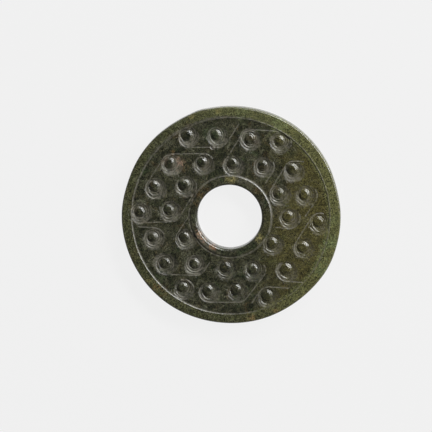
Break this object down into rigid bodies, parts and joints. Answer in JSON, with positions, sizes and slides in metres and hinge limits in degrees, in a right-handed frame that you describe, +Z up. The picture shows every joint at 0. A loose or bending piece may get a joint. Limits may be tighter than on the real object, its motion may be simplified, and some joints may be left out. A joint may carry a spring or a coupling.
{
  "type": "jade bi disc",
  "caption": "Flat round jade disc with a central hole, a plain rim and collar, and a field of linked raised curls between incised lines.",
  "frame": {"origin": "on the resting plane, under the centre of the hole", "axes": "+Z up out of the carved front face, +Y towards the top of the front face as displayed, +X to its right"},
  "size_m": [0.0558, 0.0556, 0.0045],
  "materials": {
    "jade": "polished nephrite, dark grey-green to olive, matt in the cuts"
  },
  "bodies": {
    "root": {"jade_disc": "jade"}
  },
  "joints": []
}
